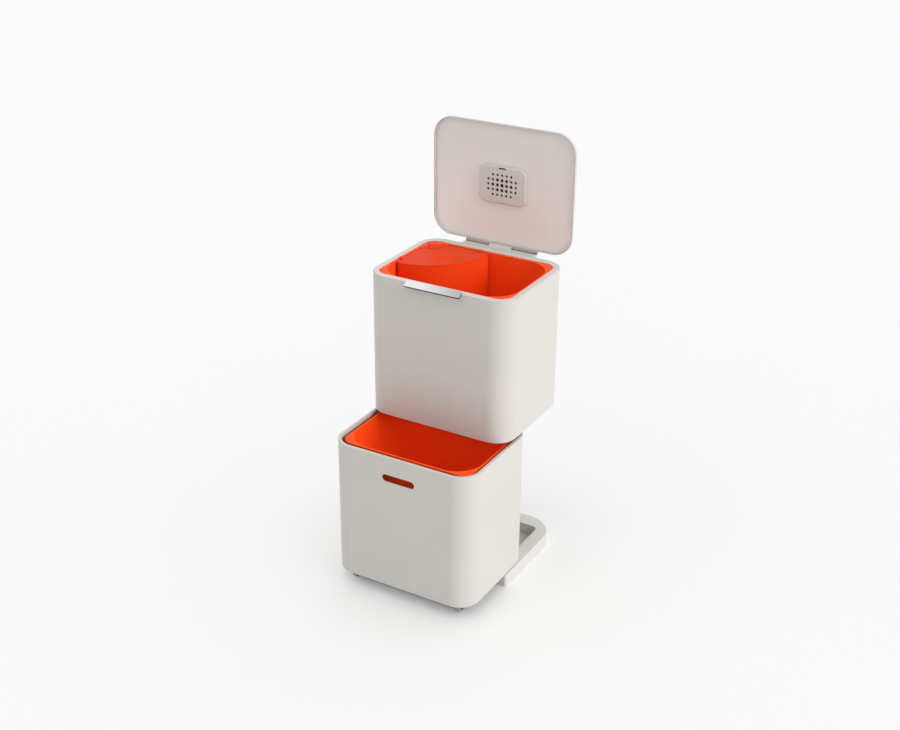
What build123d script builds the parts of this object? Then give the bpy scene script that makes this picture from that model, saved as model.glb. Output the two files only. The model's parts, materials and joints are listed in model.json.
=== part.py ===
"""Two-tier kitchen recycling bin.

A fixed upper bin with a hinged lid stands on a back column above a drawer
that rolls on a base frame. Frame: +X to the right seen from the front, -Y to
the front, +Z up, origin on the floor under the middle of the upper bin.
The rest pose has the lid open on its stop and the drawer pulled out.
"""
import os

from build123d import *

os.makedirs("parts", exist_ok=True)

# Outer shells
unit_width = 400.0
unit_depth = 310.0
corner_radius = 54.0
shell_wall = 2.5
shell_bottom_radius = 3.0
upper_bottom = 415.5
body_top = 792.5
drawer_bottom = 35.5
drawer_top = 404.5

# Raised pads on both shell floors, which carry the liners
floor_pad_height = 4.0
floor_pad_radius = 10.0
floor_pad_spacing_x = 240.0
floor_pad_spacing_y = 120.0

# Rim ring on the upper shell
ring_plate = 2.0
ring_step = 1.0
ring_side_width = 15.0
ring_front_width = 17.5
ring_back_width = 22.0
ring_opening_radius = 34.0
ring_fit = 0.2
ring_skirt_depth = 15.0
ring_skirt_wall = 3.0
ring_lip_depth = 8.0
ring_lip_wall = 2.5
ring_edge_radius = 0.8

# Liners
liner_wall = 2.0
liner_floor = 2.5
liner_draft = 0.8
liner_corner_radius = 75.0
liner_rim_overhang = 3.0
liner_rim_height = 3.0
upper_liner_gap = 0.5
upper_liner_drop = 2.0
drawer_liner_side_gap = 8.5
drawer_liner_rim_radius = 30.0
drawer_liner_front_gap = 24.0
drawer_liner_back_gap = 2.0
drawer_liner_drop = 5.0

# Food caddy in the back-left corner of the upper liner
caddy_sweep_radius = 184.0
caddy_side_gap = 3.5
caddy_corner_fillet = 70.0
caddy_tip_fillet = 12.0
caddy_wall = 2.0
caddy_height = 150.0
caddy_plate = 2.5
caddy_top_drop = 5.5
caddy_lid_gap = 0.2
caddy_lid_inset = 0.5
caddy_deck_depth = 11.5
caddy_axis_inset = 16.0
caddy_axis_rise = 4.0
caddy_knuckle_radius = 3.2
caddy_knuckle_length = 20.0
caddy_ear_gap = 0.3
caddy_ear_length = 7.0
caddy_pin_radius = 1.5
caddy_hook_width = 24.0
caddy_hook_plate = 2.0
caddy_hook_inset = 4.0
caddy_hook_wall = 2.5
caddy_lug_width = 16.0
caddy_lug_offset = 150.0
caddy_lug_reach = 8.0
caddy_grip_offset = 108.0
caddy_grip_length = 86.0
caddy_grip_width = 36.0
caddy_grip_depth = 8.0
caddy_grip_radius = 10.0
caddy_grip_bar = 8.0
caddy_grip_bar_depth = 4.0

# Main lid, hinged behind the body
lid_width = 400.0
lid_length = 314.0
lid_thickness = 13.0
lid_wall = 2.5
lid_top = 2.5
lid_edge_radius = 6.0
lid_rest_gap = 0.5
lid_panel_thickness = 2.0
lid_panel_gap = 0.2
hinge_back = 15.0
hinge_drop = 6.0
hinge_barrel_radius = 6.0
hinge_pin_radius = 3.0
hinge_width = 206.0
hinge_leaf_width = 64.0
hinge_side_gap = 1.0
bracket_plate = 3.0
bracket_height = 40.5
bracket_screw_drop = 30.5
bracket_screw_xs = (-84.0, -28.0, 28.0, 84.0)
leaf_plate = 3.0
leaf_inset = 1.5
leaf_root = 5.0
leaf_skirt = 8.0

# Odour filter on the inside of the lid
filter_width = 134.0
filter_height = 98.0
filter_radius = 20.0
filter_depth = 10.0
filter_wall = 2.0
filter_edge_radius = 4.0
filter_pad_gap = 0.5
filter_hole_pitch = 13.0
filter_hole_small = 3.3
filter_hole_large = 4.3
filter_hole_centre = 5.0
filter_notch_width = 20.0
filter_notch_height = 4.0
filter_notch_offset = 44.0
filter_edge_notch = 3.5

# Release lever at the front rim
lever_half_width = 76.0
lever_plate = 2.2
lever_back_gap = 2.8
lever_rise = 8.0
lever_reach = 17.0
lever_nose_rise = 2.0
lever_nose_drop = 1.0
lever_nose_run = 3.0
lever_lip_drop = 6.5
lever_cheek = 2.0
lever_hub_radius = 4.0
lever_hub_width = 9.0
lever_web_inset = 1.0
lever_bracket_half = 40.0
lever_bracket_depth = 9.0
lever_bracket_height = 9.5
lever_bracket_drop = 1.5
lever_axis_front = 5.5
lever_axis_drop = 6.0
lever_side_gap = 1.0
lever_pin_radius = 1.5

# Shared clearances
running_gap = 0.05
screw_radius = 2.0
screw_head_radius = 4.0
screw_head_height = 1.6

# Drawer
drawer_pull = 173.0
drawer_corner_radius = 56.0
drawer_rim_width = 8.5
drawer_rim_height = 8.0
drawer_edge_radius = 1.5
drawer_notch_width = 194.0
drawer_notch_depth = 38.0
slot_length = 92.0
slot_height = 20.0
slot_centre_drop = 57.0

# Rolling chassis under the drawer
chassis_plate = 3.0
chassis_front_inset = 24.0
chassis_back = 104.0
chassis_bar = 4.0
chassis_bar_bottom = 15.0
chassis_rail_wall = 3.0
chassis_rail_bottom = 18.0
chassis_side_gap = 3.0
ear_boss_radius = 6.0
wheel_width = 12.0
wheel_side_gap = 1.0
front_wheel_radius = 14.0
rear_wheel_radius = 12.0
front_wheel_inset = 40.0
rear_wheel_back = 80.0
wheel_edge_radius = 1.5
ear_half_length = 8.0
axle_radius = 2.0

# Base frame and back column
base_side_overhang = 5.5
base_back_overhang = 4.0
base_front = 138.0
base_height = 34.0
base_back_radius = 85.0
base_front_radius = 8.0
base_edge_radius = 4.0
base_floor = 2.5
base_arm_width = 38.0
base_back_width = 47.0
base_recess_radius = 14.0
base_tray_front = 98.0
pad_height = 2.0
pad_radius = 10.0
pad_front_inset = 18.0
pad_back_inset_x = 60.0
pad_back_inset = 27.0
column_width = 184.0
column_depth = 30.0
column_back_gap = 1.0
column_wall = 2.5
column_end = 4.0
column_screw_xs = (-70.0, -25.0, 25.0, 70.0)

# Values that follow from the ones above
half_depth = unit_depth / 2
ring_seat = body_top - ring_plate
upper_floor = upper_bottom + shell_wall
drawer_floor = drawer_bottom + shell_wall
opening_width = unit_width - 2 * ring_side_width
opening_depth = unit_depth - ring_front_width - ring_back_width
opening_y = (ring_front_width - ring_back_width) / 2
opening_back = half_depth - ring_back_width
upper_liner_width = opening_width - 2 * upper_liner_gap
upper_liner_depth = opening_depth - 2 * upper_liner_gap
upper_liner_rim_radius = ring_opening_radius - upper_liner_gap
upper_liner_top = body_top - upper_liner_drop
liner_inner_inset = liner_rim_overhang + liner_wall
drawer_y = -drawer_pull
drawer_front = drawer_y - half_depth
drawer_back = drawer_y + half_depth
drawer_liner_width = unit_width - 2 * (drawer_rim_width + drawer_liner_side_gap)
drawer_liner_depth = (
    unit_depth
    - drawer_notch_depth
    - drawer_rim_width
    - drawer_liner_front_gap
    - drawer_liner_back_gap
)
drawer_liner_y = drawer_front + drawer_liner_front_gap + drawer_liner_depth / 2
drawer_liner_top = drawer_top - drawer_liner_drop
hinge_y = half_depth + hinge_back
hinge_z = body_top - hinge_drop
bracket_screw_z = body_top - bracket_screw_drop
lid_rim_y = hinge_y + lid_rest_gap + hinge_drop
lid_outer_y = lid_rim_y + lid_thickness
lid_panel_back_y = lid_outer_y - lid_top
lid_panel_y = lid_panel_back_y - lid_panel_thickness
lid_z = hinge_z + hinge_y
lid_low_z = lid_z - lid_length / 2
column_y = half_depth - column_back_gap - column_depth / 2
base_width = unit_width + 2 * base_side_overhang
base_back = half_depth + base_back_overhang
base_depth = base_back + base_front
base_y = (base_back - base_front) / 2
base_inner_half = base_width / 2 - base_arm_width
base_inner_back = base_back - base_back_width
diagonal = 45.0


def bucket(width, depth, rim_radius, centre_y, top, bottom):
    """Open bucket with a light draft, whose flat rim is wider at the corners."""
    rim_base = top - liner_rim_height
    with BuildPart() as body:
        with BuildSketch(Plane.XY.offset(rim_base)):
            with Locations((0, centre_y)):
                RectangleRounded(width, depth, rim_radius)
        extrude(amount=liner_rim_height)
        with BuildSketch(Plane.XY.offset(rim_base)):
            with Locations((0, centre_y)):
                RectangleRounded(
                    width - 2 * liner_rim_overhang,
                    depth - 2 * liner_rim_overhang,
                    liner_corner_radius - liner_rim_overhang,
                )
        extrude(amount=bottom - rim_base, taper=liner_draft)
        with BuildSketch(Plane.XY.offset(top)):
            with Locations((0, centre_y)):
                RectangleRounded(
                    width - 2 * liner_inner_inset,
                    depth - 2 * liner_inner_inset,
                    liner_corner_radius - liner_inner_inset,
                )
        extrude(amount=bottom + liner_floor - top, taper=liner_draft, mode=Mode.SUBTRACT)
    return body.part


def screw(shank_length):
    """Pan-head screw along +Z, with the seat of its head at the origin."""
    with BuildPart() as body:
        Cylinder(
            screw_radius,
            shank_length,
            align=(Align.CENTER, Align.CENTER, Align.MAX),
        )
        Cylinder(
            screw_head_radius,
            screw_head_height,
            align=(Align.CENTER, Align.CENTER, Align.MIN),
        )
    return body.part


# Upper shell
with BuildPart() as upper_shell:
    with BuildSketch(Plane.XY.offset(upper_bottom)):
        RectangleRounded(unit_width, unit_depth, corner_radius)
    extrude(amount=ring_seat - upper_bottom)
    fillet(upper_shell.faces().sort_by(Axis.Z)[0].edges(), shell_bottom_radius)
    with BuildSketch(Plane.XY.offset(upper_floor)):
        RectangleRounded(
            unit_width - 2 * shell_wall,
            unit_depth - 2 * shell_wall,
            corner_radius - shell_wall,
        )
    extrude(amount=ring_seat - upper_floor, mode=Mode.SUBTRACT)
    with BuildSketch(Plane.XY.offset(upper_floor)):
        with GridLocations(floor_pad_spacing_x, floor_pad_spacing_y, 2, 2):
            Circle(floor_pad_radius)
    extrude(amount=floor_pad_height)
    with BuildSketch(Plane.XY.offset(upper_bottom)):
        with Locations(*[(x, column_y) for x in column_screw_xs]):
            Circle(screw_radius)
    extrude(amount=shell_wall, mode=Mode.SUBTRACT)
    with BuildSketch(Plane.XZ.offset(-half_depth)):
        with Locations(*[(x, bracket_screw_z) for x in bracket_screw_xs]):
            Circle(screw_radius)
    extrude(amount=shell_wall, mode=Mode.SUBTRACT)
upper_shell.part.label = "upper_shell"
export_step(upper_shell.part, "parts/upper_shell.step")

# Rim ring
with BuildPart() as rim_ring:
    with BuildSketch(Plane.XY.offset(ring_seat)):
        RectangleRounded(
            unit_width - 2 * ring_step,
            unit_depth - 2 * ring_step,
            corner_radius - ring_step,
        )
    extrude(amount=ring_plate)
    fillet(rim_ring.faces().sort_by(Axis.Z)[-1].edges(), ring_edge_radius)
    with BuildSketch(Plane.XY.offset(ring_seat - ring_skirt_depth)):
        RectangleRounded(
            unit_width - 2 * (shell_wall + ring_fit),
            unit_depth - 2 * (shell_wall + ring_fit),
            corner_radius - shell_wall - ring_fit,
        )
        RectangleRounded(
            unit_width - 2 * (shell_wall + ring_fit + ring_skirt_wall),
            unit_depth - 2 * (shell_wall + ring_fit + ring_skirt_wall),
            corner_radius - shell_wall - ring_fit - ring_skirt_wall,
            mode=Mode.SUBTRACT,
        )
    extrude(amount=ring_skirt_depth)
    with BuildSketch(Plane.XY.offset(ring_seat - ring_lip_depth)):
        with Locations((0, opening_y)):
            RectangleRounded(
                opening_width + 2 * ring_lip_wall,
                opening_depth + 2 * ring_lip_wall,
                ring_opening_radius + ring_lip_wall,
            )
    extrude(amount=ring_lip_depth)
    with BuildSketch(Plane.XY.offset(ring_seat - ring_lip_depth)):
        with Locations((0, opening_y)):
            RectangleRounded(opening_width, opening_depth, ring_opening_radius)
    extrude(amount=ring_lip_depth + ring_plate, mode=Mode.SUBTRACT)
rim_ring.part.label = "rim_ring"
export_step(rim_ring.part, "parts/rim_ring.step")

# Upper liner
with BuildPart() as upper_liner:
    add(
        bucket(
            upper_liner_width,
            upper_liner_depth,
            upper_liner_rim_radius,
            opening_y,
            upper_liner_top,
            upper_floor + floor_pad_height,
        )
    )
upper_liner.part.label = "upper_liner"
export_step(upper_liner.part, "parts/upper_liner.step")

# Food caddy. Its plan is a quarter disc about the back-left corner of the opening.
caddy_left = -upper_liner_width / 2 + liner_inner_inset + caddy_side_gap
caddy_back = opening_y + upper_liner_depth / 2 - liner_inner_inset - caddy_side_gap
caddy_top = body_top - caddy_top_drop
caddy_bottom = caddy_top - caddy_height
corner_cut = 1 - 2 ** -0.5
caddy_corner_in = caddy_corner_fillet * corner_cut
rim_corner_x = upper_liner_rim_radius * corner_cut - upper_liner_width / 2
caddy_hook_reach = (caddy_left + caddy_corner_in - rim_corner_x) * 2 ** 0.5 - caddy_hook_inset
caddy_corner = Location(
    (caddy_left + caddy_corner_in, caddy_back - caddy_corner_in, 0), (0, 0, -diagonal)
)
caddy_axis_z = caddy_top + caddy_axis_rise
caddy_lid_bottom = caddy_top + caddy_lid_gap
caddy_lid_top = caddy_lid_bottom + caddy_plate
rim_rest = upper_liner_top
ear_outer = caddy_knuckle_length / 2 + caddy_ear_gap + caddy_ear_length


def caddy_outline(inset):
    """Quarter-disc plan of the caddy, moved in by the inset."""
    left = caddy_left + inset
    back = caddy_back - inset
    with BuildSketch() as outline:
        with Locations((-opening_width / 2, opening_back)):
            Circle(caddy_sweep_radius - inset)
        with Locations((left, back)):
            Rectangle(
                unit_width,
                unit_depth,
                align=(Align.MIN, Align.MAX),
                mode=Mode.INTERSECT,
            )
        corners = outline.vertices().sort_by_distance((left, back, 0))
        fillet(corners[0], caddy_corner_fillet - inset)
        corners = outline.vertices().sort_by_distance((left, back, 0))
        fillet(corners[-2:], caddy_tip_fillet - inset)
    return outline.sketch


def corner_box(near, far, half_width_t, low, high):
    """Box in the caddy's corner frame: local +X runs in from the corner."""
    with BuildPart() as body:
        with Locations(caddy_corner):
            with Locations((near, 0, low)):
                Box(
                    far - near,
                    2 * half_width_t,
                    high - low,
                    align=(Align.MIN, Align.CENTER, Align.MIN),
                )
    return body.part


def corner_rod(radius, start, end):
    """Rod along the caddy lid's hinge axis, between two stations."""
    with BuildPart() as body:
        with Locations(caddy_corner):
            with Locations(Location((caddy_axis_inset, start, caddy_axis_z), (-90, 0, 0))):
                Cylinder(
                    radius,
                    end - start,
                    align=(Align.CENTER, Align.CENTER, Align.MIN),
                )
    return body.part


with BuildPart() as food_caddy:
    with BuildSketch(Plane.XY.offset(caddy_bottom)):
        add(caddy_outline(0))
    extrude(amount=caddy_height)
    with BuildSketch(Plane.XY.offset(caddy_bottom + liner_floor)):
        add(caddy_outline(caddy_wall))
    extrude(amount=caddy_height - liner_floor, mode=Mode.SUBTRACT)
    with BuildPart(mode=Mode.PRIVATE) as deck:
        with BuildSketch(Plane.XY.offset(caddy_top)):
            add(caddy_outline(0))
        extrude(amount=caddy_plate)
        add(
            corner_box(
                -unit_width,
                caddy_deck_depth,
                unit_width,
                caddy_top,
                caddy_top + caddy_plate,
            ),
            mode=Mode.INTERSECT,
        )
    add(deck.part)
    add(corner_box(0, caddy_hook_wall, caddy_hook_width / 2, caddy_top, rim_rest + caddy_hook_plate))
    add(
        corner_box(
            -caddy_hook_reach,
            caddy_hook_wall,
            caddy_hook_width / 2,
            rim_rest,
            rim_rest + caddy_hook_plate,
        )
    )
    for side in (-1, 1):
        stations = sorted((side * (ear_outer - caddy_ear_length), side * ear_outer))
        add(corner_rod(caddy_knuckle_radius, stations[0], stations[1]))
        with Locations(caddy_corner):
            with Locations((caddy_deck_depth - caddy_wall, sum(stations) / 2, caddy_top)):
                Box(
                    caddy_axis_inset - caddy_deck_depth + caddy_wall,
                    caddy_ear_length,
                    caddy_axis_rise,
                    align=(Align.MIN, Align.CENTER, Align.MIN),
                )
    add(corner_rod(caddy_pin_radius, -ear_outer, ear_outer), mode=Mode.SUBTRACT)
    lug_high = rim_rest + caddy_hook_plate - caddy_top
    with Locations((caddy_left, opening_back - caddy_lug_offset, caddy_top)):
        Box(caddy_wall, caddy_lug_width, lug_high, align=(Align.MIN, Align.CENTER, Align.MIN))
    with Locations((caddy_left, opening_back - caddy_lug_offset, rim_rest)):
        Box(
            caddy_lug_reach,
            caddy_lug_width,
            caddy_hook_plate,
            align=(Align.MAX, Align.CENTER, Align.MIN),
        )
    with Locations((caddy_lug_offset - opening_width / 2, caddy_back, caddy_top)):
        Box(caddy_lug_width, caddy_wall, lug_high, align=(Align.CENTER, Align.MAX, Align.MIN))
    with Locations((caddy_lug_offset - opening_width / 2, caddy_back, rim_rest)):
        Box(
            caddy_lug_width,
            caddy_lug_reach,
            caddy_hook_plate,
            align=(Align.CENTER, Align.MIN, Align.MIN),
        )
food_caddy.part.label = "food_caddy"
export_step(food_caddy.part, "parts/food_caddy.step")

# Caddy lid with a grip pocket
with BuildPart() as caddy_lid:
    with BuildSketch(Plane.XY.offset(caddy_lid_bottom)):
        add(caddy_outline(caddy_lid_inset))
    extrude(amount=caddy_plate)
    add(
        corner_box(
            -unit_width,
            caddy_axis_inset + caddy_ear_gap,
            unit_width,
            caddy_lid_bottom,
            caddy_lid_top,
        ),
        mode=Mode.SUBTRACT,
    )
    add(
        corner_box(
            0,
            caddy_axis_inset + caddy_knuckle_radius + caddy_ear_gap,
            ear_outer + caddy_ear_gap,
            caddy_lid_bottom,
            caddy_lid_top,
        ),
        mode=Mode.SUBTRACT,
    )
    for x, y, size_x, size_y in (
        (
            caddy_left,
            opening_back - caddy_lug_offset,
            2 * (caddy_wall + caddy_ear_gap),
            caddy_lug_width + 2 * caddy_ear_gap,
        ),
        (
            caddy_lug_offset - opening_width / 2,
            caddy_back,
            caddy_lug_width + 2 * caddy_ear_gap,
            2 * (caddy_wall + caddy_ear_gap),
        ),
    ):
        with Locations((x, y, caddy_lid_bottom)):
            Box(
                size_x,
                size_y,
                caddy_plate,
                align=(Align.CENTER, Align.CENTER, Align.MIN),
                mode=Mode.SUBTRACT,
            )
    add(corner_rod(caddy_knuckle_radius, -caddy_knuckle_length / 2, caddy_knuckle_length / 2))
    add(
        corner_box(
            caddy_axis_inset,
            caddy_axis_inset + 2 * caddy_knuckle_radius,
            caddy_knuckle_length / 2,
            caddy_lid_bottom,
            caddy_axis_z,
        )
    )
    add(
        corner_rod(
            caddy_pin_radius + running_gap,
            -caddy_knuckle_length / 2,
            caddy_knuckle_length / 2,
        ),
        mode=Mode.SUBTRACT,
    )
    grip_bottom = caddy_lid_top - caddy_grip_depth
    with BuildSketch(Plane(caddy_corner).offset(grip_bottom - caddy_wall)):
        with Locations((caddy_grip_offset, 0)):
            RectangleRounded(
                caddy_grip_width + 2 * caddy_wall,
                caddy_grip_length + 2 * caddy_wall,
                caddy_grip_radius + caddy_wall,
            )
    extrude(amount=caddy_grip_depth + caddy_wall)
    with BuildSketch(Plane(caddy_corner).offset(grip_bottom)):
        with Locations((caddy_grip_offset, 0)):
            RectangleRounded(caddy_grip_width, caddy_grip_length, caddy_grip_radius)
    extrude(amount=caddy_grip_depth, mode=Mode.SUBTRACT)
    with Locations(caddy_corner):
        with Locations((caddy_grip_offset, 0, caddy_lid_top)):
            Box(
                caddy_grip_bar,
                caddy_grip_length + caddy_wall,
                caddy_grip_bar_depth,
                align=(Align.CENTER, Align.CENTER, Align.MAX),
            )
caddy_lid.part.label = "caddy_lid"
export_step(caddy_lid.part, "parts/caddy_lid.step")

with BuildPart() as caddy_hinge_pin:
    add(corner_rod(caddy_pin_radius, -ear_outer, ear_outer))
caddy_hinge_pin.part.label = "caddy_hinge_pin"
export_step(caddy_hinge_pin.part, "parts/caddy_hinge_pin.step")

# Main lid: cover, inner panel and hinge leaf
with BuildPart() as lid_cover:
    with BuildSketch(Plane.XZ.offset(-lid_rim_y)):
        with Locations((0, lid_z)):
            RectangleRounded(lid_width, lid_length, corner_radius)
    extrude(amount=-lid_thickness)
    fillet(lid_cover.faces().sort_by(Axis.Y)[-1].edges(), lid_edge_radius)
    with BuildSketch(Plane.XZ.offset(-lid_rim_y)):
        with Locations((0, lid_z)):
            RectangleRounded(
                lid_width - 2 * lid_wall,
                lid_length - 2 * lid_wall,
                corner_radius - lid_wall,
            )
    extrude(amount=lid_top - lid_thickness, mode=Mode.SUBTRACT)
lid_cover.part.label = "lid_cover"
export_step(lid_cover.part, "parts/lid_cover.step")

with BuildPart() as lid_panel:
    with BuildSketch(Plane.XZ.offset(-lid_panel_y)):
        with Locations((0, lid_z)):
            RectangleRounded(
                lid_width - 2 * (lid_wall + lid_panel_gap),
                lid_length - 2 * (lid_wall + lid_panel_gap),
                corner_radius - lid_wall - lid_panel_gap,
            )
    extrude(amount=-lid_panel_thickness)
lid_panel.part.label = "lid_panel"
export_step(lid_panel.part, "parts/lid_panel.step")

with BuildPart() as lid_hinge_leaf:
    with BuildSketch(Plane.YZ.offset(-hinge_leaf_width / 2)):
        with BuildLine():
            Polyline(
                (hinge_y - leaf_root, hinge_z + hinge_barrel_radius / 2),
                (hinge_y, hinge_z + hinge_barrel_radius),
                (lid_rim_y + leaf_inset, lid_low_z),
                (lid_outer_y - leaf_inset, lid_low_z),
                (lid_outer_y - leaf_inset, lid_low_z - leaf_plate),
                (hinge_y, hinge_z - hinge_barrel_radius),
                close=True,
            )
        make_face()
        with Locations((hinge_y, hinge_z)):
            Circle(hinge_barrel_radius)
            Circle(hinge_pin_radius + running_gap, mode=Mode.SUBTRACT)
    extrude(amount=hinge_leaf_width)
    with Locations((0, lid_rim_y + leaf_inset, lid_low_z)):
        Box(
            hinge_width,
            lid_thickness - 2 * leaf_inset,
            leaf_skirt,
            align=(Align.CENTER, Align.MIN, Align.MAX),
        )
lid_hinge_leaf.part.label = "lid_hinge_leaf"
export_step(lid_hinge_leaf.part, "parts/lid_hinge_leaf.step")

# Hinge bracket on the back of the upper shell
knuckle_length = (hinge_width - hinge_leaf_width) / 2 - hinge_side_gap
with BuildPart() as hinge_bracket:
    with Locations((0, half_depth, body_top)):
        Box(
            hinge_width,
            bracket_plate,
            bracket_height,
            align=(Align.CENTER, Align.MIN, Align.MAX),
        )
    for side in (-1, 1):
        inner = side * (hinge_leaf_width / 2 + hinge_side_gap)
        with BuildSketch(Plane.YZ.offset(inner)):
            with Locations(((half_depth + hinge_y) / 2, hinge_z)):
                Rectangle(hinge_y - half_depth, 2 * hinge_barrel_radius)
            with Locations((hinge_y, hinge_z)):
                Circle(hinge_barrel_radius)
        extrude(amount=side * knuckle_length)
    with BuildSketch(Plane.YZ.offset(-hinge_width / 2)):
        with Locations((hinge_y, hinge_z)):
            Circle(hinge_pin_radius)
    extrude(amount=hinge_width, mode=Mode.SUBTRACT)
    with BuildSketch(Plane.XZ.offset(-half_depth)):
        with Locations(*[(x, bracket_screw_z) for x in bracket_screw_xs]):
            Circle(screw_radius)
    extrude(amount=-bracket_plate, mode=Mode.SUBTRACT)
hinge_bracket.part.label = "hinge_bracket"
export_step(hinge_bracket.part, "parts/hinge_bracket.step")

with BuildPart() as hinge_pin:
    with Locations(Location((-hinge_width / 2, hinge_y, hinge_z), (0, 90, 0))):
        Cylinder(hinge_pin_radius, hinge_width, align=(Align.CENTER, Align.CENTER, Align.MIN))
hinge_pin.part.label = "hinge_pin"
export_step(hinge_pin.part, "parts/hinge_pin.step")

for number, screw_x in enumerate(bracket_screw_xs, start=1):
    screw_seat = Location((screw_x, half_depth + bracket_plate, bracket_screw_z), (-90, 0, 0))
    with BuildPart() as bracket_screw:
        with Locations(screw_seat):
            add(screw(bracket_plate + shell_wall))
    bracket_screw.part.label = f"bracket_screw_{number}"
    export_step(bracket_screw.part, f"parts/bracket_screw_{number}.step")

# Odour filter
filter_front_y = lid_panel_y - filter_depth
hole_rows = (
    (-2, (-2, -1, 0, 1, 2), ()),
    (-1, (-3, -2, 2, 3), (-1, 0, 1)),
    (0, (-3, 3), (-2, -1, 1, 2)),
    (1, (-3, -2, 2, 3), (-1, 0, 1)),
    (2, (-2, -1, 0, 1, 2), ()),
)
with BuildPart() as filter_cover:
    with BuildSketch(Plane.XZ.offset(-filter_front_y)):
        with Locations((0, lid_z)):
            RectangleRounded(filter_width, filter_height, filter_radius)
    extrude(amount=-filter_depth)
    fillet(filter_cover.faces().sort_by(Axis.Y)[0].edges(), filter_edge_radius)
    with BuildSketch(Plane.XZ.offset(-filter_front_y - filter_wall)):
        with Locations((0, lid_z)):
            RectangleRounded(
                filter_width - 2 * filter_wall,
                filter_height - 2 * filter_wall,
                filter_radius - filter_wall,
            )
    extrude(amount=filter_wall - filter_depth, mode=Mode.SUBTRACT)
    with BuildSketch(Plane.XZ.offset(-filter_front_y)):
        for row, small_columns, large_columns in hole_rows:
            row_z = lid_z + row * filter_hole_pitch
            with Locations(*[(column * filter_hole_pitch, row_z) for column in small_columns]):
                Circle(filter_hole_small)
            if large_columns:
                with Locations(*[(column * filter_hole_pitch, row_z) for column in large_columns]):
                    Circle(filter_hole_large)
        with Locations((0, lid_z)):
            Circle(filter_hole_centre)
        with Locations((0, lid_z + filter_notch_offset)):
            Rectangle(filter_notch_width, filter_notch_height)
        with Locations((0, lid_z - filter_height / 2)):
            Rectangle(filter_notch_width, 2 * filter_edge_notch)
    extrude(amount=-filter_wall, mode=Mode.SUBTRACT)
filter_cover.part.label = "filter_cover"
export_step(filter_cover.part, "parts/filter_cover.step")

with BuildPart() as filter_pad:
    with BuildSketch(Plane.XZ.offset(-filter_front_y - filter_wall)):
        with Locations((0, lid_z)):
            RectangleRounded(
                filter_width - 2 * (filter_wall + filter_pad_gap),
                filter_height - 2 * (filter_wall + filter_pad_gap),
                filter_radius - filter_wall - filter_pad_gap,
            )
    extrude(amount=filter_wall + filter_pad_gap - filter_depth)
filter_pad.part.label = "filter_pad"
export_step(filter_pad.part, "parts/filter_pad.step")

# Release lever, its bracket and its pin
lever_axis_y = -half_depth - lever_axis_front
lever_axis_z = body_top - lever_axis_drop
lever_back = -half_depth - lever_back_gap
lever_front = -half_depth - lever_reach
lever_high = body_top + lever_rise
lever_shoulder = body_top + lever_nose_rise
lever_brow = body_top - lever_nose_drop
lever_low = body_top - lever_lip_drop
lever_profile = (
    (lever_back, lever_high),
    (lever_front + lever_nose_run, lever_shoulder),
    (lever_front, lever_brow),
    (lever_front, lever_low),
    (lever_front + lever_plate, lever_low),
    (lever_front + lever_plate, lever_brow - lever_plate / 2),
    (lever_front + lever_nose_run, lever_shoulder - lever_plate),
    (lever_back, lever_high - lever_plate),
)
cheek_profile = lever_profile[:5] + ((lever_back, lever_brow),)
with BuildPart() as release_lever:
    with BuildSketch(Plane.YZ.offset(-lever_half_width)):
        with BuildLine():
            Polyline(*lever_profile, close=True)
        make_face()
    extrude(amount=2 * lever_half_width)
    for side in (-1, 1):
        with BuildSketch(Plane.YZ.offset(side * lever_half_width)):
            with BuildLine():
                Polyline(*cheek_profile, close=True)
            make_face()
        extrude(amount=-side * lever_cheek)
        with BuildSketch(Plane.YZ.offset(side * (lever_bracket_half + lever_side_gap))):
            with BuildLine():
                Polyline(
                    (lever_axis_y - lever_hub_radius, lever_axis_z),
                    (lever_axis_y + lever_hub_radius - lever_web_inset, lever_axis_z),
                    (lever_back - lever_web_inset, lever_high - lever_plate),
                    (lever_front + 2 * lever_nose_run, lever_shoulder),
                    close=True,
                )
            make_face()
            with Locations((lever_axis_y, lever_axis_z)):
                Circle(lever_hub_radius)
        extrude(amount=side * lever_hub_width)
    with BuildSketch(Plane.YZ.offset(-lever_half_width)):
        with Locations((lever_axis_y, lever_axis_z)):
            Circle(lever_pin_radius + running_gap)
    extrude(amount=2 * lever_half_width, mode=Mode.SUBTRACT)
release_lever.part.label = "release_lever"
export_step(release_lever.part, "parts/release_lever.step")

with BuildPart() as release_bracket:
    with Locations((0, -half_depth, body_top - lever_bracket_drop)):
        Box(
            2 * lever_bracket_half,
            lever_bracket_depth,
            lever_bracket_height,
            align=(Align.CENTER, Align.MAX, Align.MAX),
        )
    with BuildSketch(Plane.YZ.offset(-lever_bracket_half)):
        with Locations((lever_axis_y, lever_axis_z)):
            Circle(lever_pin_radius)
    extrude(amount=2 * lever_bracket_half, mode=Mode.SUBTRACT)
release_bracket.part.label = "release_bracket"
export_step(release_bracket.part, "parts/release_bracket.step")

lever_pin_half = lever_bracket_half + lever_side_gap + lever_hub_width
with BuildPart() as release_pin:
    with Locations(Location((-lever_pin_half, lever_axis_y, lever_axis_z), (0, 90, 0))):
        Cylinder(
            lever_pin_radius,
            2 * lever_pin_half,
            align=(Align.CENTER, Align.CENTER, Align.MIN),
        )
release_pin.part.label = "release_pin"
export_step(release_pin.part, "parts/release_pin.step")


def drawer_outline(inset):
    """Plan of the drawer shell: rounded, with a notch behind for the column."""
    with BuildSketch() as outline:
        with Locations((0, drawer_y)):
            RectangleRounded(
                unit_width - 2 * inset,
                unit_depth - 2 * inset,
                drawer_corner_radius - inset,
            )
        with Locations((0, drawer_back)):
            Rectangle(
                drawer_notch_width + 2 * inset,
                2 * (drawer_notch_depth + inset),
                mode=Mode.SUBTRACT,
            )
    return outline.sketch


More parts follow.
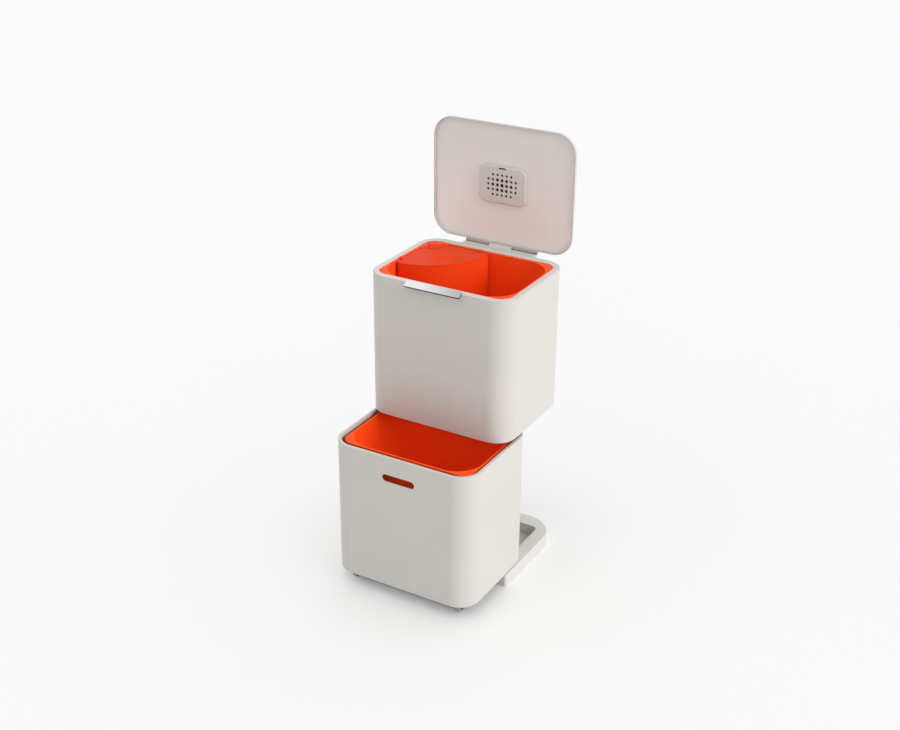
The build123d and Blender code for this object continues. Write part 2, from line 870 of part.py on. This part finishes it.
# Drawer shell
with BuildPart() as drawer_shell:
    with BuildSketch(Plane.XY.offset(drawer_bottom)):
        add(drawer_outline(0))
    extrude(amount=drawer_top - drawer_bottom)
    fillet(drawer_shell.faces().sort_by(Axis.Z)[-1].edges(), drawer_edge_radius)
    fillet(drawer_shell.faces().sort_by(Axis.Z)[0].edges(), drawer_edge_radius)
    with BuildSketch(Plane.XY.offset(drawer_floor)):
        add(drawer_outline(shell_wall))
    extrude(amount=drawer_top - drawer_rim_height - drawer_floor, mode=Mode.SUBTRACT)
    with BuildSketch(Plane.XY.offset(drawer_top - drawer_rim_height)):
        add(drawer_outline(drawer_rim_width))
    extrude(amount=drawer_rim_height, mode=Mode.SUBTRACT)
    with BuildSketch(Plane.XY.offset(drawer_floor)):
        with Locations((0, drawer_liner_y)):
            with GridLocations(floor_pad_spacing_x, floor_pad_spacing_y, 2, 2):
                Circle(floor_pad_radius)
    extrude(amount=floor_pad_height)
    with BuildSketch(Plane.XZ.offset(-drawer_front)):
        with Locations((0, drawer_top - slot_centre_drop)):
            SlotOverall(slot_length, slot_height)
    extrude(amount=-shell_wall, mode=Mode.SUBTRACT)
drawer_shell.part.label = "drawer_shell"
export_step(drawer_shell.part, "parts/drawer_shell.step")

# Drawer liner
with BuildPart() as drawer_liner:
    add(
        bucket(
            drawer_liner_width,
            drawer_liner_depth,
            drawer_liner_rim_radius,
            drawer_liner_y,
            drawer_liner_top,
            drawer_floor + floor_pad_height,
        )
    )
drawer_liner.part.label = "drawer_liner"
export_step(drawer_liner.part, "parts/drawer_liner.step")

# Rolling chassis
ear_outer_face = base_inner_half - chassis_side_gap
wheel_track = ear_outer_face - chassis_rail_wall - wheel_side_gap - wheel_width / 2
ear_inner = wheel_track - wheel_width / 2 - wheel_side_gap
chassis_front_y = drawer_front + chassis_front_inset
chassis_back_y = chassis_back - drawer_pull
rail_x = ear_inner - chassis_rail_wall / 2
ear_x = ear_outer_face - chassis_rail_wall / 2
wheel_stations = (
    ("front", drawer_front + front_wheel_inset, front_wheel_radius, front_wheel_radius),
    ("rear", rear_wheel_back - drawer_pull, rear_wheel_radius, base_floor + rear_wheel_radius),
)
chassis_plate_bottom = drawer_bottom - chassis_plate
with BuildPart() as drawer_chassis:
    with Locations((0, chassis_front_y, drawer_bottom)):
        Box(
            2 * ear_outer_face,
            chassis_back_y - chassis_front_y,
            chassis_plate,
            align=(Align.CENTER, Align.MIN, Align.MAX),
        )
    with Locations((0, chassis_front_y, chassis_plate_bottom)):
        Box(
            2 * ear_inner,
            chassis_bar,
            chassis_plate_bottom - chassis_bar_bottom,
            align=(Align.CENTER, Align.MIN, Align.MAX),
        )
    for side in (-1, 1):
        with Locations((side * rail_x, chassis_front_y, chassis_plate_bottom)):
            Box(
                chassis_rail_wall,
                chassis_back_y - chassis_front_y,
                chassis_plate_bottom - chassis_rail_bottom,
                align=(Align.CENTER, Align.MIN, Align.MAX),
            )
        for name, wheel_y, radius, wheel_z in wheel_stations:
            for face in (rail_x, ear_x):
                with Locations((side * face, wheel_y, chassis_plate_bottom)):
                    Box(
                        chassis_rail_wall,
                        2 * ear_half_length,
                        chassis_plate_bottom - wheel_z,
                        align=(Align.CENTER, Align.CENTER, Align.MAX),
                    )
                with Locations(Location((side * face, wheel_y, wheel_z), (0, 90, 0))):
                    Cylinder(ear_boss_radius, chassis_rail_wall)
            with Locations(Location((side * wheel_track, wheel_y, wheel_z), (0, 90, 0))):
                Cylinder(
                    axle_radius,
                    2 * (ear_outer_face - wheel_track),
                    mode=Mode.SUBTRACT,
                )
drawer_chassis.part.label = "drawer_chassis"
export_step(drawer_chassis.part, "parts/drawer_chassis.step")

# Wheels and axles
for name, wheel_y, radius, wheel_z in wheel_stations:
    for side_name, side in (("left", -1), ("right", 1)):
        wheel_place = Location((side * wheel_track, wheel_y, wheel_z), (0, 90, 0))
        with BuildPart() as wheel:
            with Locations(wheel_place):
                Cylinder(radius, wheel_width)
            fillet(wheel.edges().filter_by(GeomType.CIRCLE), wheel_edge_radius)
            with Locations(wheel_place):
                Cylinder(axle_radius + running_gap, wheel_width, mode=Mode.SUBTRACT)
        wheel.part.label = f"{name}_wheel_{side_name}"
        export_step(wheel.part, f"parts/{name}_wheel_{side_name}.step")
        with BuildPart() as axle:
            with Locations(wheel_place):
                Cylinder(axle_radius, 2 * (ear_outer_face - wheel_track))
        axle.part.label = f"{name}_axle_{side_name}"
        export_step(axle.part, f"parts/{name}_axle_{side_name}.step")

# Base frame
pad_front_x = base_inner_half + base_arm_width / 2
pad_front_y = pad_front_inset - base_front
pad_back_x = base_width / 2 - pad_back_inset_x
pad_back_y = base_back - pad_back_inset
pad_places = (
    (-pad_front_x, pad_front_y),
    (pad_front_x, pad_front_y),
    (-pad_back_x, pad_back_y),
    (pad_back_x, pad_back_y),
)
with BuildPart() as base_frame:
    with BuildSketch() as base_plan:
        with Locations((0, base_y)):
            Rectangle(base_width, base_depth)
        fillet(base_plan.vertices().sort_by(Axis.Y)[-2:], base_back_radius)
        fillet(base_plan.vertices().sort_by(Axis.Y)[:2], base_front_radius)
    extrude(amount=base_height)
    fillet(base_frame.faces().sort_by(Axis.Z)[-1].edges(), base_edge_radius)
    with BuildSketch(Plane.XY.offset(base_floor)) as recess_plan:
        with Locations((0, base_inner_back)):
            Rectangle(2 * base_inner_half, unit_depth, align=(Align.CENTER, Align.MAX))
        fillet(recess_plan.vertices().sort_by(Axis.Y)[-2:], base_recess_radius)
    extrude(amount=base_height, mode=Mode.SUBTRACT)
    with Locations((0, -base_tray_front, 0)):
        Box(
            2 * base_inner_half,
            base_front,
            base_floor,
            align=(Align.CENTER, Align.MAX, Align.MIN),
            mode=Mode.SUBTRACT,
        )
    with BuildSketch():
        with Locations(*pad_places):
            Circle(pad_radius)
    extrude(amount=pad_height, mode=Mode.SUBTRACT)
base_frame.part.label = "base_frame"
export_step(base_frame.part, "parts/base_frame.step")

for number, place in enumerate(pad_places, start=1):
    with BuildPart() as base_pad:
        with BuildSketch():
            with Locations(place):
                Circle(pad_radius)
        extrude(amount=pad_height)
    base_pad.part.label = f"base_pad_{number}"
    export_step(base_pad.part, f"parts/base_pad_{number}.step")

# Back column, a channel open to the back
with BuildPart() as back_column:
    with Locations((0, column_y, base_height)):
        Box(
            column_width,
            column_depth,
            upper_bottom - base_height,
            align=(Align.CENTER, Align.CENTER, Align.MIN),
        )
    with Locations((0, column_y + column_wall, base_height + column_end)):
        Box(
            column_width - 2 * column_wall,
            column_depth,
            upper_bottom - base_height - 2 * column_end,
            align=(Align.CENTER, Align.CENTER, Align.MIN),
            mode=Mode.SUBTRACT,
        )
    with BuildSketch(Plane.XY.offset(upper_bottom)):
        with Locations(*[(x, column_y) for x in column_screw_xs]):
            Circle(screw_radius)
    extrude(amount=-column_end, mode=Mode.SUBTRACT)
back_column.part.label = "back_column"
export_step(back_column.part, "parts/back_column.step")

for number, screw_x in enumerate(column_screw_xs, start=1):
    with BuildPart() as column_screw:
        with Locations((screw_x, column_y, upper_floor)):
            add(screw(shell_wall + column_end))
    column_screw.part.label = f"column_screw_{number}"
    export_step(column_screw.part, f"parts/column_screw_{number}.step")
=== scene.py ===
"""Looks for the two-tier recycling bin: procedural finishes, studio light and camera.

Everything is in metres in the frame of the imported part: +X to the right seen from
the front, -Y to the front, +Z up, origin on the floor under the upper bin.
"""

import json
import math

import bmesh
import bpy
from mathutils import Matrix, Vector


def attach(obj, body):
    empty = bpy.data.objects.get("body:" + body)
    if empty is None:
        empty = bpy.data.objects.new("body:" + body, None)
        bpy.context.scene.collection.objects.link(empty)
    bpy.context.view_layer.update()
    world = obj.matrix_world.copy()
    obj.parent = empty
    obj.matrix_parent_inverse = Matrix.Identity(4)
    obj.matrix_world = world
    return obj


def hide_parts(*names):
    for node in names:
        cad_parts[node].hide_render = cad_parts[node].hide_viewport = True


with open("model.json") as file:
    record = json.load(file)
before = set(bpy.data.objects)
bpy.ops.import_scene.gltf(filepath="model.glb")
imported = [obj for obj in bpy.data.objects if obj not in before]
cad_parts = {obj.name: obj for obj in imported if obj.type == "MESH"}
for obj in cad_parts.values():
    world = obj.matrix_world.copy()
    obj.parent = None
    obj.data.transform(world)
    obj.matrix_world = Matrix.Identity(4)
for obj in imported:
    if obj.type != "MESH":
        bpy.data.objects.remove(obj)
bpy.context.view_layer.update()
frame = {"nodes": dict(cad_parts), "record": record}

# Camera, from a fit to the photograph's edges
CAMERA_PLACE = (1.5360, -2.7379, 2.0124)
CAMERA_AZIMUTH = 30.02
CAMERA_ELEVATION = 25.32
CAMERA_ROLL = 0.42
CAMERA_LENS = 54.35
CAMERA_SENSOR = 36.0
CAMERA_NEAR = 0.05
CAMERA_FAR = 200.0

# Floor
FLOOR_HALF = 60.0
FLOOR_TONE = (0.93, 0.93, 0.93)
FLOOR_VARIATION = 1.01
FLOOR_GLOW = 0.148

# Light from all round, by the height of its direction
SKY_HORIZON = (0.30, 0.30, 0.30)
SKY_HORIZON_AT = 0.02
SKY_LOW = (0.74, 0.735, 0.73)
SKY_LOW_AT = 0.22
SKY_HIGH = (0.95, 0.95, 0.95)
SKY_HIGH_AT = 0.75
SKY_STRENGTH = 1.0
BACKDROP_TONE = (0.956, 0.956, 0.956)

# Key light
KEY_STRENGTH = 2.0
KEY_ANGLE = 40.0
KEY_AZIMUTH = 88.0
KEY_ELEVATION = 27.0

# Noise in the finishes, and the part of its range that their tones span
BROAD_NOISE = {"Detail": 3.0, "Roughness": 0.55}
SMALL_NOISE = {"Detail": 2.0, "Roughness": 0.6}
NOISE_LOW = 0.25
NOISE_HIGH = 0.75

# Lid panel's colour, painted paler towards the hinge as painted light that lifts the shade
# there: heights and factors
PANEL_PAINTED_LIGHT_BELOW = 0.82
PANEL_PLAIN_ABOVE = 1.06
PANEL_PAINTED_LIGHT = 1.21

# Lever's colour with painted reflection, brighter towards -X, darker towards +X and on its
# lip: places and factors
LEVER_PAINTED_GLINT_AT = -0.03
LEVER_PAINTED_GLINT = 1.25
LEVER_PAINTED_DIM_AT = 0.07
LEVER_PAINTED_DIM = 0.74
LIP_TOP = 0.7885
LIP_FADE_END = 0.7897
LIP_PAINTED_DARK_REFLECTION = 0.10

# Hinge leaf's hem, and dark blocks of painted shade in the gaps between the knuckles: (y, z)
# profiles and x places
HEM_HALF_WIDTH = 0.103
HEM_PROFILE = (
    (0.1780, 0.7930),
    (0.1780, 0.7898),
    (0.1774, 0.7882),
    (0.1778, 0.7868),
    (0.1792, 0.7860),
    (0.1808, 0.7866),
    (0.1814, 0.7884),
    (0.1814, 0.7930),
)
GAP_SHADE_PROFILE = ((0.1765, 0.7950), (0.1765, 0.7905), (0.1778, 0.7900), (0.1785, 0.7950))
GAP_SHADE_PLACES = (-0.1010, -0.0330, 0.0330, 0.1010)
GAP_SHADE_HALF_WIDTH = 0.0012

# Grip hollow in the caddy's lid: a bowl cut into the lid once its pocket is filled
GRIP_CENTRE = (-0.0791, 0.0271)
GRIP_ACROSS = Vector((1, -1, 0)).normalized()
GRIP_ALONG = Vector((1, 1, 0)).normalized()
GRIP_TOP = 0.7897
GRIP_HALF_WIDTH = 0.027
GRIP_HALF_LENGTH = 0.052
GRIP_DEPTH = 0.0054
OVAL_POINTS = 64
BOWL_RINGS_TO_RIM = 20
BOWL_RINGS = 26
FILL_HALF_WIDTH = 0.0195
FILL_HALF_LENGTH = 0.0445
FILL_LEVELS = (0.7805, 0.7896)
FILL_POWER = 5


def node_of(tree, kind, **inputs):
    """New shader node with some of its sockets set."""
    made = tree.nodes.new(kind)
    for name, value in inputs.items():
        made.inputs[name.replace("_", " ")].default_value = value
    return made


def grain(
    name, dark, light, rough, patch, fine, relief,
    metallic=0.0, specular=0.5, glow=0.0, stretch=(1, 1, 1),
):
    """Finish with two close tones, uneven roughness and a fine relief.

    dark and light are linear colours, rough is (lowest, highest), patch and fine are
    noise scales per metre, and relief is the bump's depth in metres.
    """
    material = bpy.data.materials.new(name)
    material.use_nodes = True
    tree = material.node_tree
    shader = tree.nodes["Principled BSDF"]
    shader.inputs["Metallic"].default_value = metallic
    shader.inputs["Specular IOR Level"].default_value = specular
    shader.inputs["Emission Color"].default_value = (*light, 1)
    shader.inputs["Emission Strength"].default_value = glow
    place = node_of(tree, "ShaderNodeTexCoord")
    mapping = node_of(tree, "ShaderNodeMapping", Scale=stretch)
    broad = node_of(tree, "ShaderNodeTexNoise", Scale=patch, **BROAD_NOISE)
    small = node_of(tree, "ShaderNodeTexNoise", Scale=fine, **SMALL_NOISE)
    tones = tree.nodes.new("ShaderNodeValToRGB")
    tones.color_ramp.elements[0].position = NOISE_LOW
    tones.color_ramp.elements[0].color = (*dark, 1)
    tones.color_ramp.elements[1].position = NOISE_HIGH
    tones.color_ramp.elements[1].color = (*light, 1)
    gloss = node_of(tree, "ShaderNodeMapRange", From_Min=NOISE_LOW, From_Max=NOISE_HIGH)
    gloss.inputs["To Min"].default_value = rough[0]
    gloss.inputs["To Max"].default_value = rough[1]
    bump = node_of(tree, "ShaderNodeBump", Strength=1.0, Distance=relief)
    link = tree.links.new
    link(place.outputs["Object"], mapping.inputs["Vector"])
    link(mapping.outputs["Vector"], broad.inputs["Vector"])
    link(mapping.outputs["Vector"], small.inputs["Vector"])
    link(broad.outputs["Fac"], tones.inputs["Fac"])
    link(broad.outputs["Fac"], gloss.inputs["Value"])
    link(small.outputs["Fac"], bump.inputs["Height"])
    link(tones.outputs["Color"], shader.inputs["Base Color"])
    link(gloss.outputs["Result"], shader.inputs["Roughness"])
    link(bump.outputs["Normal"], shader.inputs["Normal"])
    return material


def shade_along(material, axis, low, high, first, last):
    """Scale a finish's colour from first to last as an object coordinate goes low to high."""
    tree = material.node_tree
    base = tree.nodes["Principled BSDF"].inputs["Base Color"]
    before = base.links[0].from_socket
    place = node_of(tree, "ShaderNodeTexCoord")
    split = node_of(tree, "ShaderNodeSeparateXYZ")
    ramp = node_of(tree, "ShaderNodeMapRange", From_Min=low, From_Max=high)
    ramp.inputs["To Min"].default_value = first
    ramp.inputs["To Max"].default_value = last
    scale = node_of(tree, "ShaderNodeVectorMath")
    scale.operation = "SCALE"
    tree.links.new(place.outputs["Object"], split.inputs["Vector"])
    tree.links.new(split.outputs[axis], ramp.inputs["Value"])
    tree.links.new(before, scale.inputs[0])
    tree.links.new(ramp.outputs["Result"], scale.inputs["Scale"])
    tree.links.new(scale.outputs["Vector"], base)


def new_piece(name, mesh_code, finish):
    """Object of a bmesh, with a finish on all of it."""
    mesh = bpy.data.meshes.new(name)
    mesh_code.to_mesh(mesh)
    mesh_code.free()
    made = bpy.data.objects.new(name, mesh)
    bpy.context.scene.collection.objects.link(made)
    made.data.materials.append(finish)
    return made


def add_prism(target, profile, x_low, x_high):
    """Solid between two values of x with a profile of (y, z) points."""
    ends = [
        [target.verts.new((x, y, z)) for y, z in profile] for x in (x_low, x_high)
    ]
    target.faces.new(ends[0])
    target.faces.new(reversed(ends[1]))
    for index in range(len(profile)):
        after = (index + 1) % len(profile)
        target.faces.new((ends[0][after], ends[0][index], ends[1][index], ends[1][after]))
    bmesh.ops.recalc_face_normals(target, faces=target.faces)


def ring_surface(rings):
    """Closed solid through rings of equally many points, capped at both ends."""
    solid = bmesh.new()
    loops = [[solid.verts.new(point) for point in ring] for ring in rings]
    solid.faces.new(loops[0])
    solid.faces.new(reversed(loops[-1]))
    for lower, upper in zip(loops, loops[1:]):
        for index in range(len(lower)):
            after = (index + 1) % len(lower)
            solid.faces.new((lower[after], lower[index], upper[index], upper[after]))
    bmesh.ops.recalc_face_normals(solid, faces=solid.faces)
    return solid


def carve(piece, tool, operation):
    """Apply one boolean to a piece and remove the tool."""
    step = piece.modifiers.new("carve", "BOOLEAN")
    step.operation = operation
    step.solver = "EXACT"
    step.object = tool
    bpy.context.view_layer.update()
    shaped = bpy.data.meshes.new_from_object(
        piece.evaluated_get(bpy.context.evaluated_depsgraph_get())
    )
    piece.modifiers.clear()
    piece.data = shaped
    bpy.data.objects.remove(tool)


def squarer(value, power):
    """Sine or cosine pushed outward, so that an oval becomes a rounded rectangle."""
    return math.copysign(abs(value) ** (2 / power), value)


def grip_ring(width, length, z, power=2):
    """Oval around the grip's centre, nearer to a rounded rectangle at a higher power."""
    ring = []
    for index in range(OVAL_POINTS):
        angle = 2 * math.pi * (index + 0.5) / OVAL_POINTS
        side = GRIP_ACROSS * width * squarer(math.cos(angle), power)
        end = GRIP_ALONG * length * squarer(math.sin(angle), power)
        spot = side + end
        ring.append((GRIP_CENTRE[0] + spot.x, GRIP_CENTRE[1] + spot.y, z))
    return ring


def toward(azimuth, elevation):
    """Unit direction from the object, by radians round from the front and up."""
    return Vector(
        (
            math.sin(azimuth) * math.cos(elevation),
            -math.cos(azimuth) * math.cos(elevation),
            math.sin(elevation),
        )
    )


SHELL = grain(
    "shell paint",
    dark=(0.545, 0.520, 0.485),
    light=(0.573, 0.547, 0.511),
    rough=(0.34, 0.44),
    patch=6,
    fine=900,
    relief=0.000025,
)
TRIM = grain(
    "trim plastic",
    dark=(0.570, 0.546, 0.512),
    light=(0.600, 0.575, 0.541),
    rough=(0.26, 0.36),
    patch=9,
    fine=1500,
    relief=0.00003,
)
PANEL = grain(
    "lid panel",
    dark=(0.684, 0.661, 0.630),
    light=(0.712, 0.688, 0.656),
    rough=(0.36, 0.48),
    patch=7,
    fine=1400,
    relief=0.00003,
)
BASE = grain(
    "base plastic",
    dark=(0.575, 0.560, 0.530),
    light=(0.610, 0.594, 0.562),
    rough=(0.46, 0.58),
    patch=9,
    fine=1300,
    relief=0.00004,
)
COLUMN = grain(
    "column paint",
    dark=(0.420, 0.410, 0.390),
    light=(0.455, 0.445, 0.424),
    rough=(0.44, 0.56),
    patch=8,
    fine=1000,
    relief=0.00003,
)
# The orange plastic's weak glow is painted light that lifts its shaded walls
ORANGE = grain(
    "orange plastic",
    dark=(0.920, 0.074, 0.007),
    light=(0.950, 0.082, 0.009),
    rough=(0.40, 0.52),
    patch=7,
    fine=1400,
    relief=0.00003,
    specular=0.14,
    glow=0.03,
)
# The caddy and its lid use the liners' orange made darker: painted shade that offsets the
# stronger light falling on them
ORANGE_CADDY_SHADED = grain(
    "orange caddy plastic painted shade",
    dark=(0.760, 0.052, 0.005),
    light=(0.790, 0.059, 0.007),
    rough=(0.40, 0.52),
    patch=7,
    fine=1400,
    relief=0.00003,
    specular=0.14,
)
ORANGE_LID_SHADED = grain(
    "orange lid plastic painted shade",
    dark=(0.690, 0.045, 0.005),
    light=(0.728, 0.051, 0.007),
    rough=(0.46, 0.58),
    patch=7,
    fine=1400,
    relief=0.00003,
    specular=0.12,
)
FOAM = grain(
    "filter foam",
    dark=(0.006, 0.006, 0.006),
    light=(0.022, 0.021, 0.020),
    rough=(0.85, 0.97),
    patch=260,
    fine=700,
    relief=0.0004,
)
CHROME = grain(
    "lever plating",
    dark=(0.66, 0.66, 0.67),
    light=(0.74, 0.74, 0.75),
    rough=(0.14, 0.26),
    patch=30,
    fine=500,
    relief=0.000006,
    metallic=1.0,
    stretch=(0.06, 1, 1),
)
STEEL = grain(
    "zinc plate",
    dark=(0.50, 0.50, 0.51),
    light=(0.60, 0.60, 0.61),
    rough=(0.30, 0.45),
    patch=120,
    fine=900,
    relief=0.00001,
    metallic=1.0,
    stretch=(0.2, 1, 1),
)
CHASSIS = grain(
    "dark grey plastic",
    dark=(0.120, 0.118, 0.114),
    light=(0.150, 0.148, 0.143),
    rough=(0.50, 0.62),
    patch=12,
    fine=1200,
    relief=0.00004,
)
WHEEL = grain(
    "wheel rubber",
    dark=(0.29, 0.285, 0.28),
    light=(0.35, 0.345, 0.335),
    rough=(0.62, 0.75),
    patch=60,
    fine=900,
    relief=0.00006,
)
PAD = grain(
    "pad rubber",
    dark=(0.035, 0.035, 0.035),
    light=(0.055, 0.055, 0.054),
    rough=(0.75, 0.88),
    patch=80,
    fine=900,
    relief=0.00006,
)

# Painted light: the lid panel's colour is raised towards the hinge, against the shade there
shade_along(PANEL, "Z", PANEL_PAINTED_LIGHT_BELOW, PANEL_PLAIN_ABOVE, PANEL_PAINTED_LIGHT, 1.0)
# Painted reflection on the lever: brighter towards -X, duller towards +X
shade_along(CHROME, "X", LEVER_PAINTED_GLINT_AT, LEVER_PAINTED_DIM_AT, LEVER_PAINTED_GLINT, LEVER_PAINTED_DIM)
# Painted dark reflection on the lever's lip
shade_along(CHROME, "Z", LIP_TOP, LIP_FADE_END, LIP_PAINTED_DARK_REFLECTION, 1.0)

# Finish of each material slot, and of the nodes that differ from their slot's
FINISHES = {
    "shell_paint": SHELL,
    "trim_plastic": TRIM,
    "base_plastic": BASE,
    "column_paint": COLUMN,
    "liner_orange": ORANGE,
    "filter_black": FOAM,
    "lever_chrome": CHROME,
    "steel": STEEL,
    "chassis_grey": CHASSIS,
    "wheel_rubber": WHEEL,
    "pad_rubber": PAD,
}
OWN_FINISH = {"lid_panel": PANEL, "caddy_lid": ORANGE_LID_SHADED, "food_caddy": ORANGE_CADDY_SHADED}

slots = {row["node"]: row["material_slot"] for row in frame["record"]["subparts"]}
for name, piece in frame["nodes"].items():
    finish = OWN_FINISH.get(name, FINISHES[slots[name]])
    piece.data.materials.clear()
    piece.data.materials.append(finish)

# Curved hem of the hinge leaf, down to the knuckles, with dark blocks of painted shade for
# the gaps between them
hem_mesh = bmesh.new()
add_prism(hem_mesh, HEM_PROFILE, -HEM_HALF_WIDTH, HEM_HALF_WIDTH)
hem = new_piece("hinge_leaf_hem", hem_mesh, TRIM)
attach(hem, "lid")
gap_shade_mesh = bmesh.new()
for shade_x in GAP_SHADE_PLACES:
    add_prism(gap_shade_mesh, GAP_SHADE_PROFILE, shade_x - GAP_SHADE_HALF_WIDTH, shade_x + GAP_SHADE_HALF_WIDTH)
gap_shade = new_piece("hinge_knuckle_gap_shade", gap_shade_mesh, CHASSIS)
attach(gap_shade, "lid")

# Caddy lid with its grip as one soft oval hollow
fill_rings = [
    grip_ring(FILL_HALF_WIDTH, FILL_HALF_LENGTH, z, power=FILL_POWER) for z in FILL_LEVELS
]
fill = new_piece("grip_fill", ring_surface(fill_rings), ORANGE_LID_SHADED)
bowl_rings = []
for step in range(1, BOWL_RINGS + 1):
    reach = step / BOWL_RINGS_TO_RIM
    level = GRIP_TOP + GRIP_DEPTH * (reach * reach - 1)
    bowl_rings.append(grip_ring(GRIP_HALF_WIDTH * reach, GRIP_HALF_LENGTH * reach, level))
bowl = new_piece("grip_bowl", ring_surface(bowl_rings), ORANGE_LID_SHADED)
cover = frame["nodes"]["caddy_lid"].copy()
cover.data = cover.data.copy()
cover.name = "caddy_cover_skin"
bpy.context.scene.collection.objects.link(cover)
carve(cover, fill, "UNION")
carve(cover, bowl, "DIFFERENCE")
for facet in cover.data.polygons:
    facet.use_smooth = False
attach(cover, "caddy_cover")
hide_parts("caddy_lid")

# Floor
bpy.ops.mesh.primitive_plane_add(size=2 * FLOOR_HALF, location=(0, 0, 0))
floor = bpy.context.object
floor.name = "studio_floor"
floor_finish = grain(
    "floor",
    dark=FLOOR_TONE,
    light=tuple(FLOOR_VARIATION * c for c in FLOOR_TONE),
    rough=(0.85, 0.95),
    patch=0.5,
    fine=40,
    relief=0.0001,
    specular=0.1,
    glow=FLOOR_GLOW,
)
floor.data.materials.append(floor_finish)

# Ambient light, with a tone of its own where the camera or a reflection sees it
world = bpy.data.worlds.new("studio")
bpy.context.scene.world = world
world.use_nodes = True
sky = world.node_tree
sky.nodes.clear()
output = sky.nodes.new("ShaderNodeOutputWorld")
around = node_of(sky, "ShaderNodeTexCoord")
height = node_of(sky, "ShaderNodeSeparateXYZ")
fade = sky.nodes.new("ShaderNodeValToRGB")
fade.color_ramp.elements[0].position = SKY_HORIZON_AT
fade.color_ramp.elements[0].color = (*SKY_HORIZON, 1)
fade.color_ramp.elements[1].position = SKY_HIGH_AT
fade.color_ramp.elements[1].color = (*SKY_HIGH, 1)
fade.color_ramp.elements.new(SKY_LOW_AT).color = (*SKY_LOW, 1)
ambient = node_of(sky, "ShaderNodeBackground", Strength=SKY_STRENGTH)
sky.links.new(around.outputs["Generated"], height.inputs["Vector"])
sky.links.new(height.outputs["Z"], fade.inputs["Fac"])
sky.links.new(fade.outputs["Color"], ambient.inputs["Color"])
backdrop = node_of(sky, "ShaderNodeBackground", Color=(*BACKDROP_TONE, 1), Strength=1.0)
rays = sky.nodes.new("ShaderNodeLightPath")
seen = node_of(sky, "ShaderNodeMath")
seen.operation = "MAXIMUM"
choose = sky.nodes.new("ShaderNodeMixShader")
sky.links.new(rays.outputs["Is Camera Ray"], seen.inputs[0])
sky.links.new(rays.outputs["Is Glossy Ray"], seen.inputs[1])
sky.links.new(seen.outputs["Value"], choose.inputs["Fac"])
sky.links.new(ambient.outputs["Background"], choose.inputs[1])
sky.links.new(backdrop.outputs["Background"], choose.inputs[2])
sky.links.new(choose.outputs["Shader"], output.inputs["Surface"])

# Key light from the right, on the object alone
key_data = bpy.data.lights.new("key", "SUN")
key_data.energy = KEY_STRENGTH
key_data.angle = math.radians(KEY_ANGLE)
key = bpy.data.objects.new("key", key_data)
bpy.context.scene.collection.objects.link(key)
toward_light = toward(math.radians(KEY_AZIMUTH), math.radians(KEY_ELEVATION))
key.rotation_euler = toward_light.to_track_quat("Z", "Y").to_euler()
key_sees = bpy.data.collections.new("lit_by_key")
for piece in [*frame["nodes"].values(), hem, gap_shade, cover]:
    key_sees.objects.link(piece)
key.light_linking.receiver_collection = key_sees

# Camera
azimuth = math.radians(CAMERA_AZIMUTH)
roll = math.radians(CAMERA_ROLL)
forward = -toward(azimuth, math.radians(CAMERA_ELEVATION))
level = Vector((math.cos(azimuth), math.sin(azimuth), 0))
upright = level.cross(forward)
right = level * math.cos(roll) + upright * math.sin(roll)
up = upright * math.cos(roll) - level * math.sin(roll)
camera_data = bpy.data.cameras.new("camera")
camera_data.lens = CAMERA_LENS
camera_data.sensor_width = CAMERA_SENSOR
camera_data.clip_start = CAMERA_NEAR
camera_data.clip_end = CAMERA_FAR
camera = bpy.data.objects.new("camera", camera_data)
bpy.context.scene.collection.objects.link(camera)
turn = Matrix((right, up, -forward)).transposed().to_4x4()
camera.matrix_world = Matrix.Translation(CAMERA_PLACE) @ turn
bpy.context.scene.camera = camera
bpy.context.scene.view_settings.view_transform = "Standard"
